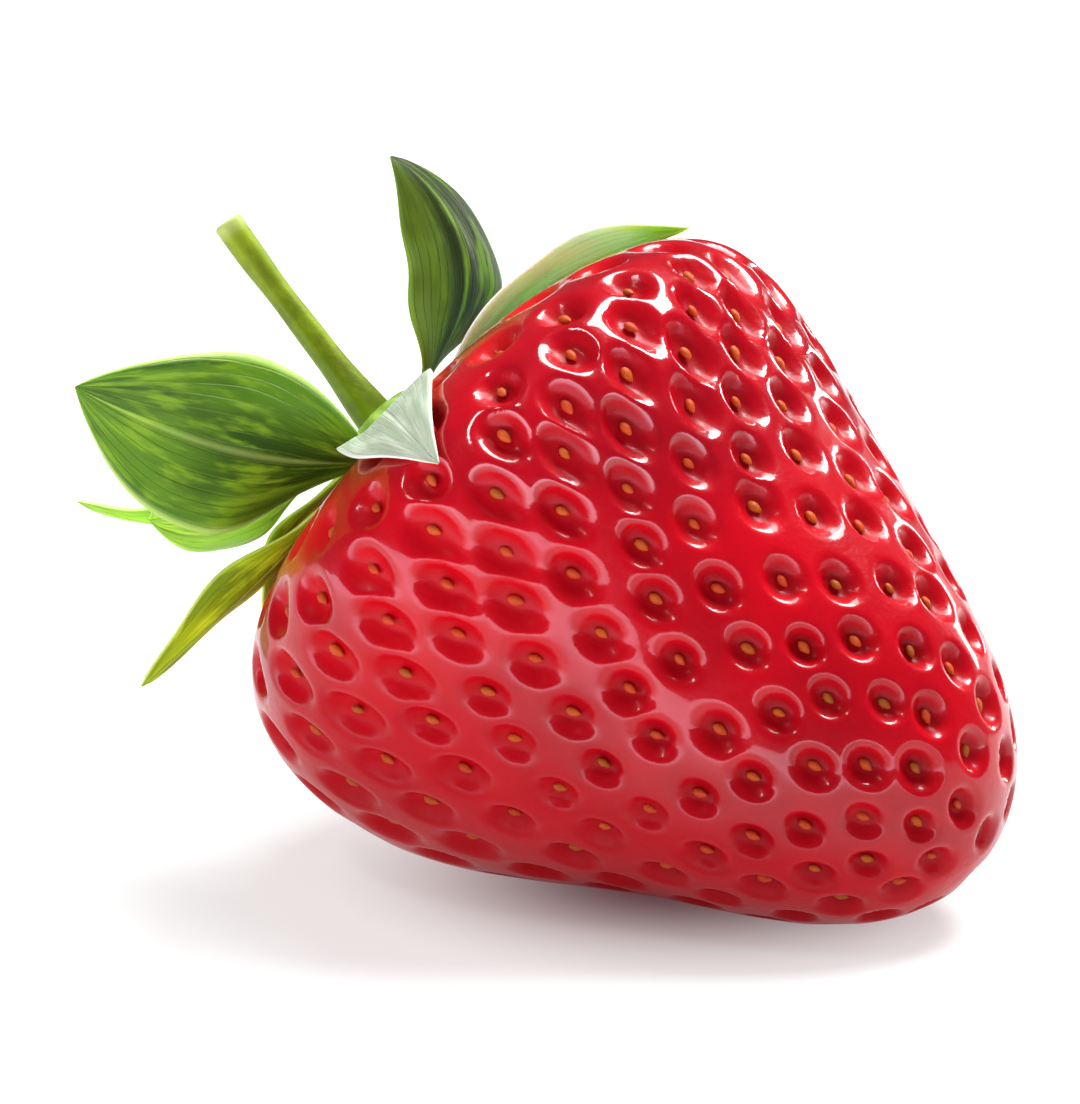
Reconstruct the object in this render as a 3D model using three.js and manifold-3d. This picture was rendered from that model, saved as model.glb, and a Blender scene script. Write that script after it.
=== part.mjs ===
// A ripe strawberry lying on its side, in millimetres with +Z up.
// The fruit is a rounded cone with a seed in each dimple of its skin. Its crown carries the green cap:
// a low disc with pointed leaves round it, some raised and some bent back over the fruit, and the cut stem.
// The origin is the middle of the flat that the fruit rests on, and +X points the way its tip does.

import * as THREE from "three";
import { ConvexHull } from "three/addons/math/ConvexHull.js";
import { mergeVertices } from "three/addons/utils/BufferGeometryUtils.js";
import Module from "manifold-3d";

const { cos, sin, exp, hypot, sqrt, max, PI } = Math;
const { degToRad: radians, smoothstep, lerp, clamp } = THREE.MathUtils;

// The fruit's own frame has its middle as origin, +Z towards the crown and +X towards the side that lies
// on top. The far side is its +Y.
const HALF_LENGTH = 22.4;
const GIRTH = { middle: 16.0, taper: 8.3, flare: 8.6, shoulder: 2.5 }; // half width, as a cubic of the height
const CROWN_SLOPE = { top: -0.21, far: 0.11 }; // how much the crown rises towards those sides, as a share
const BOW = { top: 0.2, far: -0.5 }; // both ends drift towards those sides
const BELLY = { swell: 3.55, middle: 0.31, spread: 0.5 }; // the side that it lies on is the fuller one
const LUMP = 0.45; // the skin's slow rise and fall
const CROWN_PLACE = { top: -1.5, far: -1.0 }; // where the stem grows, from the axis towards those sides
const HOLLOW = { depth: 2.0, radius: 7 }; // the hollow round the stem

// How the fruit lies.
const TIP_DIP = 28.2; // degrees that the axis slopes down to the tip
const MIDDLE_HEIGHT = 15.55; // from the surface up to the middle of the fruit, which leaves the flat
const MIDDLE_FORWARD = 1.4; // from the middle of the flat to that of the fruit, along X
const FLAT_CLEAR = { reach: 16, side: 4.8 }; // no dimple or seed this near to the middle of the flat

// Seeds sit further apart near the crown than at the tip.
const SEED_GAP = { tip: 3.5, crown: 5.1 };
const SEED_TOP_SHARE = 0.93; // height share where the seeds stop under the leaves
const SEED = { length: 1.5, width: 1.0, foot: 1.35, top: -0.12, side: -0.26 };
const DIMPLE_DEPTH = 0.6;
const GOLDEN_TURN = PI * (3 - sqrt(5));
const SEED_STEPS = 400;
const RING_SIDES = 6;

// The cap's frame stands on the middle of the crown, square to it, with +X towards the top side.
// Each leaf goes by its turn round the crown, from the top side towards the near one; the row that it starts
// in, of which 0 lies on the fruit; its lift from the crown's plane at the root, and how much that changes up
// to the tip; how far it twists round its own length; how far its edges rise; the share of its length where
// it is widest; and how far its middle line bows sideways.
const LEAF_THICK = 0.5;
const LEAF_ROOT = { radius: 4.5, width: 1.8 };
const LEAF_TIP_WIDTH = 0.35;
const LEAF_GAP = 0.35;
const ROW_RISE = 1.2;
const LEAF_ALONG = 10;
const LEAF_ACROSS = 4;
const LEAVES = [
  {
    turn: -30, row: 1, length: 13.6, width: 7.4, full: 0.4,
    lift: 26, curl: 58, twist: -44, cup: 1.1, sway: 1.6,
  },
  {
    turn: 56, row: 0, length: 17.6, width: 7.2, full: 0.4,
    lift: 10, curl: -54, twist: -2, cup: 0.6, sway: 0.2,
  },
  {
    turn: 97, row: 0, length: 19.2, width: 11.2, full: 0.46,
    lift: 41, curl: 9, twist: 29, cup: 0.9, sway: -0.8,
  },
  {
    turn: 134, row: 1, length: 11.2, width: 9.4, full: 0.62,
    lift: 30, curl: 0, twist: 29, cup: 0.8, sway: -0.4,
  },
  {
    turn: 146, row: 0, length: 16.6, width: 3.4, full: 0.6,
    lift: 6, curl: -8, twist: 24, cup: 0.6, sway: -0.4,
  },
  {
    turn: 179, row: 1, length: 11.5, width: 5.6, full: 0.5,
    lift: 8, curl: -40, twist: 0, cup: 0.5, sway: 0.3,
  },
  {
    turn: 212, row: 0, length: 12.5, width: 5.4, full: 0.5,
    lift: 2, curl: -26, twist: 0, cup: 0.6, sway: -0.4,
  },
  {
    turn: 242, row: 1, length: 12.5, width: 7.4, full: 0.5,
    lift: 14, curl: -24, twist: 4, cup: 0.4, sway: 0.5,
  },
  {
    turn: 275, row: 0, length: 12, width: 5.8, full: 0.5,
    lift: 2, curl: -50, twist: -4, cup: 0.5, sway: 0.3,
  },
  {
    turn: 322, row: 0, length: 17.5, width: 7, full: 0.38,
    lift: 17, curl: -50, twist: -14, cup: 0.5, sway: 0,
  },
  {
    turn: 146, row: 2.2, length: 14.6, width: 2.4, full: 0.6,
    lift: 14, curl: 40, twist: 20, cup: 0.3, sway: -2,
  },
];
const EDGE_WAVE = { height: 0.35, turns: 1.6 };

// The disc that the leaves and the stem grow from.
const DISC = { radius: 3.8, foot: 0.35, height: 2.5 };

// The stem leans to the top side, and bends on as it goes.
const STEM_GAP = 0.35;
const STEM = { length: 13.6, root: 1.2, waist: 0.8, end: 0.9, lean: 7, bend: 5 };

const COLOURS = { fruit: 0xc00a14, leaf: 0x4f8a24, disc: 0x7fa03a, stem: 0x9cc43c };

// A point of the smooth skin for a direction from the middle, both in the fruit's frame.
function skinPoint({ x, y, z }) {
  const girth = GIRTH.middle + GIRTH.taper * z + GIRTH.flare * z ** 2 + GIRTH.shoulder * z ** 3;
  const lump = LUMP * sin(3.1 * x + 1.9 * z + 0.6) * sin(3.4 * y - 1.3 * z + 1.1);
  const low = x < 0 ? x ** 2 : 0;
  const belly = BELLY.swell * low * exp(-(((z - BELLY.middle) / BELLY.spread) ** 2));
  const across = x * (girth + lump) - belly;
  const away = y * (girth + lump);
  const fromStem = hypot(across - CROWN_PLACE.top, away - CROWN_PLACE.far);
  const hollow = HOLLOW.depth * exp(-((fromStem / HOLLOW.radius) ** 2)) * smoothstep(z, 0.5, 0.9);
  const slope = (CROWN_SLOPE.top * across + CROWN_SLOPE.far * away) * smoothstep(z, -0.2, 1);
  const height = HALF_LENGTH * z - hollow + slope;
  return new THREE.Vector3(across + BOW.top * z ** 2, away + BOW.far * z ** 2, height);
}

// Two unit vectors that span the plane square to a direction.
function tangents(direction) {
  const along = new THREE.Vector3(0, 0, 1).addScaledVector(direction, -direction.z).normalize();
  return { along, across: new THREE.Vector3().crossVectors(along, direction) };
}

// The direction found by walking over the skin from another by so many millimetres along and across.
function walk(direction, stepAlong, stepAcross) {
  const probe = 1e-3;
  const start = skinPoint(direction);
  const { along, across } = tangents(direction);
  const stretch = (way) =>
    skinPoint(direction.clone().addScaledVector(way, probe).normalize()).distanceTo(start) / probe;
  return direction
    .clone()
    .addScaledVector(along, stepAlong / stretch(along))
    .addScaledVector(across, stepAcross / stretch(across))
    .normalize();
}

function skinNormal(direction) {
  const probe = 1e-3;
  const { along, across } = tangents(direction);
  const near = (way, step) => skinPoint(direction.clone().addScaledVector(way, step).normalize());
  const slopeAlong = near(along, probe).sub(near(along, -probe));
  const slopeAcross = near(across, probe).sub(near(across, -probe));
  return slopeAcross.cross(slopeAlong).normalize();
}

// The skin's point moved along its outward normal.
function raised(direction, height) {
  return skinPoint(direction).addScaledVector(skinNormal(direction), height);
}

function directionAt(height, turn) {
  const radius = sqrt(max(0, 1 - height * height));
  return new THREE.Vector3(radius * cos(turn), radius * sin(turn), height);
}

// Seeds follow a spiral from the tip to the crown, as close together as the gap at each height asks.
function seedDirections() {
  const found = [];
  let count = 0.5;
  let before = new THREE.Vector2(0, -HALF_LENGTH);
  for (let step = 1; step <= SEED_STEPS; step++) {
    const height = -1 + ((SEED_TOP_SHARE + 1) * step) / SEED_STEPS;
    const point = skinPoint(directionAt(height, PI / 2));
    const after = new THREE.Vector2(point.y, point.z);
    const gap = lerp(SEED_GAP.tip, SEED_GAP.crown, (height + 1) / 2);
    count += (PI * (before.x + after.x) * before.distanceTo(after)) / ((sqrt(3) / 2) * gap * gap);
    before = after;
    while (found.length + 1 <= count) found.push(directionAt(height, found.length * GOLDEN_TURN));
  }
  return found;
}

// Plain rings of skin under the cap, where no seed sits.
function crownDirections() {
  const rings = [
    { height: 0.955, sides: 16 },
    { height: 0.98, sides: 12 },
    { height: 0.994, sides: 7 },
  ];
  const found = [new THREE.Vector3(0, 0, 1)];
  for (const { height, sides } of rings)
    for (let side = 0; side < sides; side++) found.push(directionAt(height, (2 * PI * side) / sides + height));
  return found;
}

// Triangles between points on a ball are those of the points' convex hull.
function hullTriangles(directions) {
  const numbers = new Map(directions.map((direction, number) => [direction, number]));
  return new ConvexHull().setFromPoints(directions).faces.map(({ edge }) =>
    [edge, edge.next, edge.next.next].map((side) => numbers.get(side.head().point)));
}

// One ring of a seed or its dimple round the middle of the seed.
function seedRing(direction, length, width) {
  return Array.from({ length: RING_SIDES }, (_, side) => {
    const angle = (2 * PI * side) / RING_SIDES;
    return walk(direction, (length / 2) * cos(angle), (width / 2) * sin(angle));
  });
}

// The fruit's faces: a seed stands in each dimple, and the dimples' edges meet midway between the seeds.
function fruitGeometry(isOverFlat) {
  const seeds = seedDirections();
  const plain = [...crownDirections(), ...seeds.filter(isOverFlat)];
  const dimpled = seeds.filter((direction) => !isOverFlat(direction));
  const sites = [...dimpled, ...plain];
  const levels = plain.map((direction) => ({ direction, height: 0 }));
  for (const direction of dimpled) {
    levels.push({ direction, height: SEED.top });
    for (const ring of seedRing(direction, SEED.length, SEED.width))
      levels.push({ direction: ring, height: SEED.side });
    for (const ring of seedRing(direction, SEED.length * SEED.foot, SEED.width * SEED.foot))
      levels.push({ direction: ring, height: -DIMPLE_DEPTH });
  }
  for (const corners of hullTriangles(sites)) {
    const middle = new THREE.Vector3();
    corners.forEach((corner) => middle.add(sites[corner]));
    levels.push({ direction: middle.normalize(), height: 0 });
  }
  const positions = levels.flatMap(({ direction, height }) => raised(direction, height).toArray());
  return new THREE.BufferGeometry()
    .setAttribute("position", new THREE.Float32BufferAttribute(positions, 3))
    .setIndex(hullTriangles(levels.map(({ direction }) => direction)).flat());
}

// The fruit lies in this group: its frame, turned and lifted onto the surface.
const strawberry = new THREE.Group();
strawberry.rotation.y = radians(TIP_DIP - 90);
strawberry.position.set(MIDDLE_FORWARD, 0, MIDDLE_HEIGHT);
strawberry.updateMatrixWorld(true);

const wasm = await Module();
wasm.setup();

function solidOf(geometry) {
  const bare = geometry.clone().deleteAttribute("normal").deleteAttribute("uv");
  const merged = mergeVertices(bare, 1e-4);
  return new wasm.Manifold(new wasm.Mesh({
    numProp: 3,
    vertProperties: merged.attributes.position.array,
    triVerts: new Uint32Array(merged.index.array),
  }));
}

function geometryOf(solid) {
  const { vertProperties, triVerts } = solid.getMesh();
  const geometry = new THREE.BufferGeometry()
    .setAttribute("position", new THREE.BufferAttribute(vertProperties, 3))
    .setIndex(new THREE.BufferAttribute(triVerts, 1));
  geometry.computeVertexNormals();
  return geometry;
}

// True where the skin comes near the flat that the fruit rests on.
function isOverFlat(direction) {
  const place = skinPoint(direction).applyMatrix4(strawberry.matrixWorld);
  return place.z < MIDDLE_HEIGHT / 2 && hypot(place.x / FLAT_CLEAR.reach, place.y / FLAT_CLEAR.side) < 1;
}

function fruitMesh() {
  const blockSize = 100;
  const below = new THREE.BoxGeometry(blockSize, blockSize, blockSize)
    .translate(0, 0, -blockSize / 2)
    .applyMatrix4(strawberry.matrixWorld.clone().invert());
  const resting = solidOf(fruitGeometry(isOverFlat)).subtract(solidOf(below));
  const material = new THREE.MeshStandardMaterial({ color: COLOURS.fruit, roughness: 0.25, metalness: 0 });
  return named("fruit", new THREE.Mesh(geometryOf(resting), material));
}

function named(name, mesh) {
  mesh.name = name;
  return mesh;
}

// The cap's group: its +Z is square to the crown, and its +X points to the top side.
const crownNormal = new THREE.Vector3(-CROWN_SLOPE.top, -CROWN_SLOPE.far, 1).normalize();
const crownTop = new THREE.Vector3(1, 0, 0).addScaledVector(crownNormal, -crownNormal.x).normalize();
const crownFar = new THREE.Vector3().crossVectors(crownNormal, crownTop);
const cap = new THREE.Group();
cap.quaternion.setFromRotationMatrix(new THREE.Matrix4().makeBasis(crownTop, crownFar, crownNormal));
const crownGirth = GIRTH.middle + GIRTH.taper + GIRTH.flare + GIRTH.shoulder;
const stemWay = new THREE.Vector3(CROWN_PLACE.top, CROWN_PLACE.far, crownGirth).normalize();
cap.position.copy(skinPoint(stemWay));
cap.updateMatrix();
strawberry.add(cap);

// Many places of the crown's and the shoulder's skin, with their outward normals, in the cap's frame.
function crownSkin() {
  const toCap = cap.matrix.clone().invert();
  const lowest = -0.25;
  const count = 16000;
  return Array.from({ length: count }, (_, number) => {
    const height = 1 - ((1 - lowest) * (number + 0.5)) / count;
    const direction = directionAt(height, number * GOLDEN_TURN);
    return {
      point: skinPoint(direction).applyMatrix4(toCap),
      normal: skinNormal(direction).transformDirection(toCap),
    };
  });
}
const CROWN_SKIN = crownSkin();

// The skin's height in the cap's frame at the place nearest to one in its plane.
function crownHeight(x, y) {
  const distance = ({ point }) => (point.x - x) ** 2 + (point.y - y) ** 2;
  const near = CROWN_SKIN.filter(({ normal }) => normal.z > 0.3);
  return near.reduce((best, place) => (distance(place) < distance(best) ? place : best)).point.z;
}

// Moves a leaf's point that would dip into the fruit until it lies just over the skin.
function settled(spot) {
  const soft = 0.25;
  let nearest = CROWN_SKIN[0];
  let least = Infinity;
  for (const place of CROWN_SKIN) {
    const distance = place.point.distanceToSquared(spot);
    if (distance < least) [nearest, least] = [place, distance];
  }
  const over = spot.clone().sub(nearest.point).dot(nearest.normal) - LEAF_GAP - LEAF_THICK / 2;
  return spot.addScaledVector(nearest.normal, (hypot(over, soft) - over) / 2);
}

// Half the leaf's width at a share of its length: narrow at the root and pointed at the tip.
function leafHalfWidth({ width, full }, share) {
  const bulge = sin(PI * share ** (Math.log(0.5) / Math.log(full))) ** 0.85;
  const root = (LEAF_ROOT.width / 2) * (1 - share);
  return max(root, LEAF_TIP_WIDTH / 2, (width / 2) * bulge);
}

// The leaf's middle surface: rows of points across it, from the root to the tip.
function leafRows(leaf) {
  const turn = radians(leaf.turn);
  const outward = new THREE.Vector3(cos(turn), -sin(turn), 0);
  const axis = new THREE.Vector3(0, 0, 1);
  const sideways = new THREE.Vector3().crossVectors(axis, outward);
  const spine = outward.clone().multiplyScalar(LEAF_ROOT.radius);
  spine.z = crownHeight(spine.x, spine.y) + LEAF_GAP + LEAF_THICK / 2 + leaf.row * ROW_RISE;
  const rows = [];
  for (let step = 0; step <= LEAF_ALONG; step++) {
    const share = step / LEAF_ALONG;
    const lift = radians(leaf.lift + leaf.curl * share);
    const onward = outward.clone().multiplyScalar(cos(lift)).addScaledVector(axis, sin(lift));
    if (step > 0) spine.addScaledVector(onward, leaf.length / LEAF_ALONG);
    const twist = radians(leaf.twist * smoothstep(share, 0, 0.4));
    const up = new THREE.Vector3().crossVectors(onward, sideways);
    const side = sideways.clone().multiplyScalar(cos(twist)).addScaledVector(up, sin(twist));
    const face = up.clone().multiplyScalar(cos(twist)).addScaledVector(sideways, -sin(twist));
    const half = leafHalfWidth(leaf, share);
    const row = [];
    for (let cell = 0; cell <= LEAF_ACROSS; cell++) {
      const edge = (2 * cell) / LEAF_ACROSS - 1;
      const wave = EDGE_WAVE.height * sin(2 * PI * EDGE_WAVE.turns * share + leaf.turn + edge);
      const rise = edge ** 2 * sin(PI * share) * (leaf.cup + wave);
      const aside = edge * half + leaf.sway * sin(PI * share);
      row.push(settled(spine.clone().addScaledVector(side, aside).addScaledVector(face, rise)));
    }
    rows.push(row);
  }
  return rows;
}

// A closed thin solid: the middle surface moved half the thickness each way, with both faces split alike.
function leafGeometry(leaf) {
  const rows = leafRows(leaf);
  const positions = [];
  const index = [];
  const at = (row, cell) => rows[clamp(row, 0, LEAF_ALONG)][clamp(cell, 0, LEAF_ACROSS)].clone();
  for (const way of [1, -1])
    for (let row = 0; row <= LEAF_ALONG; row++)
      for (let cell = 0; cell <= LEAF_ACROSS; cell++) {
        const along = at(row + 1, cell).sub(at(row - 1, cell));
        const across = at(row, cell + 1).sub(at(row, cell - 1));
        const face = along.cross(across).normalize();
        positions.push(...at(row, cell).addScaledVector(face, (way * LEAF_THICK) / 2).toArray());
      }
  const layer = (LEAF_ALONG + 1) * (LEAF_ACROSS + 1);
  const number = (row, cell, side) => side * layer + row * (LEAF_ACROSS + 1) + cell;
  const quad = (a, b, c, d) => index.push(a, b, c, a, c, d);
  for (let row = 0; row < LEAF_ALONG; row++)
    for (let cell = 0; cell < LEAF_ACROSS; cell++) {
      const corners = [[row, cell], [row + 1, cell], [row + 1, cell + 1], [row, cell + 1]];
      const [a, b, c, d] = corners.map(([r, s]) => number(r, s, 0));
      const [e, f, g, h] = corners.map(([r, s]) => number(r, s, 1));
      quad(a, b, c, d);
      index.push(e, g, f, e, h, g);
    }
  const rim = [];
  for (let row = 0; row < LEAF_ALONG; row++) rim.push([row, 0]);
  for (let cell = 0; cell < LEAF_ACROSS; cell++) rim.push([LEAF_ALONG, cell]);
  for (let row = LEAF_ALONG; row > 0; row--) rim.push([row, LEAF_ACROSS]);
  for (let cell = LEAF_ACROSS; cell > 0; cell--) rim.push([0, cell]);
  rim.forEach(([row, cell], place) => {
    const [nextRow, nextCell] = rim[(place + 1) % rim.length];
    quad(number(row, cell, 0), number(row, cell, 1), number(nextRow, nextCell, 1), number(nextRow, nextCell, 0));
  });
  return new THREE.BufferGeometry()
    .setAttribute("position", new THREE.Float32BufferAttribute(positions, 3))
    .setIndex(index);
}

function leafMesh(leaf, number) {
  const material = new THREE.MeshStandardMaterial({ color: COLOURS.leaf, roughness: 0.55, metalness: 0 });
  const geometry = leafGeometry(leaf);
  geometry.computeVertexNormals();
  return named(`leaf_${String(number + 1).padStart(2, "0")}`, new THREE.Mesh(geometry, material));
}

// A body turned round the fruit's axis from an outline of radius and height.
function turned(outline, sides) {
  return new THREE.LatheGeometry(outline.map(([radius, height]) => new THREE.Vector2(radius, height)), sides)
    .rotateX(PI / 2);
}

const RIM_TURNS = Array.from({ length: 12 }, (_, number) => (PI / 6) * number);
const RIM_HEIGHTS = RIM_TURNS.map((turn) => crownHeight(DISC.radius * cos(turn), DISC.radius * sin(turn)));
const DISC_BASE = max(...RIM_HEIGHTS) + DISC.foot;

function discMesh() {
  const base = DISC_BASE;
  const outline = [
    [0, base],
    [DISC.radius * 0.85, base],
    [DISC.radius, base + DISC.height * 0.25],
    [DISC.radius * 0.92, base + DISC.height * 0.5],
    [DISC.radius * 0.6, base + DISC.height * 0.8],
    [0, base + DISC.height],
  ];
  const material = new THREE.MeshStandardMaterial({ color: COLOURS.disc, roughness: 0.6, metalness: 0 });
  return named("disc", new THREE.Mesh(turned(outline, 20), material));
}

// The stem is turned upright, and each of its rings is then carried along the bend.
function stemMesh() {
  const start = DISC_BASE + DISC.height + STEM_GAP;
  const steps = 9;
  const outline = [[0, 0]];
  for (let step = 0; step <= steps; step++) {
    const share = step / steps;
    const flare = (STEM.root - STEM.waist) * (1 - share) ** 4 + (STEM.end - STEM.waist) * share ** 6;
    outline.push([STEM.waist + flare, STEM.length * share]);
  }
  outline.push([STEM.end * 0.7, STEM.length + 0.25], [0, STEM.length + 0.25]);
  const geometry = turned(outline, 12);
  const places = geometry.attributes.position;
  const radius = STEM.length / radians(STEM.bend);
  const spot = new THREE.Vector3();
  for (let number = 0; number < places.count; number++) {
    spot.fromBufferAttribute(places, number);
    const angle = spot.z / radius;
    spot.set(radius - (radius - spot.x) * cos(angle), spot.y, (radius - spot.x) * sin(angle));
    places.setXYZ(number, ...spot.toArray());
  }
  geometry.computeVertexNormals();
  const material = new THREE.MeshStandardMaterial({ color: COLOURS.stem, roughness: 0.5, metalness: 0 });
  const mesh = named("stem", new THREE.Mesh(geometry, material));
  mesh.rotation.y = radians(STEM.lean);
  mesh.position.z = start;
  return mesh;
}

strawberry.add(fruitMesh());
cap.add(discMesh(), stemMesh(), ...LEAVES.map(leafMesh));

export default strawberry;
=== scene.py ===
"""A ripe strawberry lying on its side on a white table: dimpled glossy skin, seeds, leafy cap and cut stem.

Sizes are in millimetres in the classes below, and become metres when a mesh is stored. The fruit's form, the
places of its seeds and the leaves' courses follow the same named sizes as the part's solids, so each piece
lies where its solid does.
"""

import logging
import math
from collections.abc import Iterator
from contextlib import contextmanager
from dataclasses import dataclass
from enum import Enum

import bpy
import numpy as np
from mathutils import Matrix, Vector
from mathutils.kdtree import KDTree


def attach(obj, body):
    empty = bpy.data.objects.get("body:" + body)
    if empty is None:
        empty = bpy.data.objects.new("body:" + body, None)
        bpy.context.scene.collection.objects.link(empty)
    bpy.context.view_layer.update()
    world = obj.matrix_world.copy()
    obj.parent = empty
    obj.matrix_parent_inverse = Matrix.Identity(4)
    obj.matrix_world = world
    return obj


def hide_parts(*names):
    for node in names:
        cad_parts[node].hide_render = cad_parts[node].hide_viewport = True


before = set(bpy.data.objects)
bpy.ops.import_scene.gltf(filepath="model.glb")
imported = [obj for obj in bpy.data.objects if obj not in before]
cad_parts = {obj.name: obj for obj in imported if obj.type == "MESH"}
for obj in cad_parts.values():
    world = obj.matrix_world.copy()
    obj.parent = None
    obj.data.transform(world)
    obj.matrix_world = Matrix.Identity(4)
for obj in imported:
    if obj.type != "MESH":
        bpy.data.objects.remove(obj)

log = logging.getLogger("strawberry")
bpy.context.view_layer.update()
MM = 0.001
GOLDEN_TURN = math.pi * (3 - math.sqrt(5))
Array = np.ndarray
Piece = bpy.types.Object
Socket = bpy.types.NodeSocket
Pair = tuple[float, float]
Triple = tuple[float, float, float]
Colour = Triple


# Small tools for numbers


def smooth(value: Array | float, low: float, high: float) -> Array | float:
    """An even S-shaped rise from 0 at low to 1 at high."""
    share = np.clip((value - low) / (high - low), 0, 1)
    return share * share * (3 - 2 * share)


def unit(vectors: Array) -> Array:
    """Each row scaled to a length of 1."""
    return vectors / np.linalg.norm(vectors, axis=-1, keepdims=True)


def turned_directions(heights: Array, turns: Array) -> Array:
    """Directions from the middle of a ball for heights from -1 to 1 and turns in radians."""
    radius = np.sqrt(np.clip(1 - heights * heights, 0, None))
    return np.stack([radius * np.cos(turns), radius * np.sin(turns), heights], -1)


def tilt(degrees: float) -> Array:
    """The matrix that turns rows round +Y by an angle in degrees."""
    c, s = math.cos(math.radians(degrees)), math.sin(math.radians(degrees))
    return np.array([[c, 0, -s], [0, 1, 0], [s, 0, c]])


class Salt(float, Enum):
    """What tells the scattered numbers of one quality from those of another."""

    WIDTH = 1.0
    DEPTH = 2.0
    TWIST = 3.0
    LEAN = 4.0
    SIZE = 5.0
    TINT = 6.0
    ALONG = 7.0
    ACROSS = 8.0


def scatter(count: int, salt: Salt) -> Array:
    """So many numbers from -0.5 to 0.5, as uneven as if drawn at random but the same on each run."""
    raw = np.sin(np.arange(count) * 12.9898 + salt * 78.233) * 43758.5453
    return raw - np.floor(raw) - 0.5


# Small tools for meshes


@contextmanager
def chosen(piece: Piece) -> Iterator[None]:
    """Makes a piece the active and only selected one, and deselects it at the end.

    Args:
        piece: the object to work on.
    """
    bpy.ops.object.select_all(action="DESELECT")
    bpy.context.view_layer.objects.active = piece
    piece.select_set(True)
    yield
    piece.select_set(False)


@contextmanager
def editing(piece: Piece) -> Iterator[None]:
    """Opens a piece in edit mode with all of it selected, and leaves edit mode at the end.

    Args:
        piece: the mesh object to work on.
    """
    with chosen(piece):
        bpy.ops.object.mode_set(mode="EDIT")
        bpy.ops.mesh.select_all(action="SELECT")
        yield
        bpy.ops.object.mode_set(mode="OBJECT")


def new_primitive(name: str, kind: str, **sizes: object) -> Piece:
    """Adds one of the mesh primitives at the origin.

    Args:
        name: the piece's name.
        kind: the operator's name without its ending, such as "cube".
        sizes: the operator's own sizes.

    Returns:
        The new object.
    """
    bpy.ops.object.select_all(action="DESELECT")
    getattr(bpy.ops.mesh, f"primitive_{kind}_add")(**sizes)
    piece = bpy.context.object
    piece.name = name
    piece.data.name = name
    return piece


def corners_of(piece: Piece) -> Array:
    """Reads where a mesh's vertices lie.

    Args:
        piece: the mesh object to read.

    Returns:
        Their places, one a row.
    """
    flat = np.empty(len(piece.data.vertices) * 3)
    piece.data.vertices.foreach_get("co", flat)
    return flat.reshape(-1, 3)


def move_corners(piece: Piece, places: Array) -> None:
    """Puts a mesh's vertices at new places."""
    piece.data.vertices.foreach_set("co", np.ravel(places))
    piece.data.update()


def mark_corners(piece: Piece, name: str, values: Array) -> None:
    """Stores a number at each vertex, under a name that a finish reads."""
    marks = piece.data.attributes.new(name, "FLOAT", "POINT")
    marks.data.foreach_set("value", np.ascontiguousarray(values, dtype=np.float32))


def face_outwards(piece: Piece) -> None:
    """Turns the faces of a closed piece outwards."""
    with editing(piece):
        bpy.ops.mesh.normals_make_consistent(inside=False)


def ball_places(ball: Piece) -> tuple[Array, Array]:
    """Reads where each vertex of an upright ball lies on it.

    Args:
        ball: the ball, with a radius of 1.

    Returns:
        The shares of the way from its lowest point to its highest, and the turns in radians.
    """
    x, y, z = corners_of(ball).T
    rise = np.arccos(np.clip(-z, -1, 1)) / math.pi
    return rise, np.arctan2(y, x)


def copies_of(pattern: Piece, name: str, places: Array, frames: Array) -> Piece:
    """Makes one mesh that holds a copy of a pattern at each place.

    Args:
        pattern: the object that is copied, which is then removed.
        name: the new piece's name.
        places: where each copy's origin goes, one a row.
        frames: what each copy's x, y and z steps become, as rows of a 3 by 3 block.

    Returns:
        The object that holds every copy.
    """
    corners = corners_of(pattern)
    faces = [tuple(face.vertices) for face in pattern.data.polygons]
    spots = (corners @ frames + places[:, None]).reshape(-1, 3)
    starts = range(0, len(spots), len(corners))
    copied = [tuple(v + start for v in face) for start in starts for face in faces]
    mesh = bpy.data.meshes.new(name)
    mesh.from_pydata(spots.tolist(), [], copied)
    piece = bpy.data.objects.new(name, mesh)
    bpy.context.scene.collection.objects.link(piece)
    bpy.data.objects.remove(pattern)
    return piece


# Small tools for finishes


class Term:
    """A number that varies over a surface. Used in an expression, it adds the maths nodes."""

    def __init__(self, paint: "Paint", socket: Socket) -> None:
        """Holds a socket of the material that paint works on."""
        self.paint = paint
        self.socket = socket

    def join(self, operation: str, *values: object) -> "Term":
        """The term that a maths node gives for some values."""
        return self.paint.term("ShaderNodeMath", 0, {"operation": operation}, dict(enumerate(values)))

    def __add__(self, other: object) -> "Term":
        """Sum."""
        return self.join("ADD", self, other)

    __radd__ = __add__

    def __sub__(self, other: object) -> "Term":
        """Difference."""
        return self.join("SUBTRACT", self, other)

    def __rsub__(self, other: object) -> "Term":
        """Difference from a plain number."""
        return self.join("SUBTRACT", other, self)

    def __mul__(self, other: object) -> "Term":
        """Product."""
        return self.join("MULTIPLY", self, other)

    __rmul__ = __mul__

    def __truediv__(self, other: object) -> "Term":
        """Quotient."""
        return self.join("DIVIDE", self, other)

    def __pow__(self, other: object) -> "Term":
        """Power."""
        return self.join("POWER", self, other)

    def __abs__(self) -> "Term":
        """Size without its sign."""
        return self.join("ABSOLUTE", self)

    def sine(self) -> "Term":
        """Sine of an angle in radians."""
        return self.join("SINE", self)

    def rise(self, low: float, high: float) -> "Term":
        """A smooth rise from 0 at low to 1 at high."""
        inputs = {"Value": self, "From Min": low, "From Max": high}
        return self.paint.term("ShaderNodeMapRange", "Result", {"interpolation_type": "SMOOTHSTEP"}, inputs)


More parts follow.
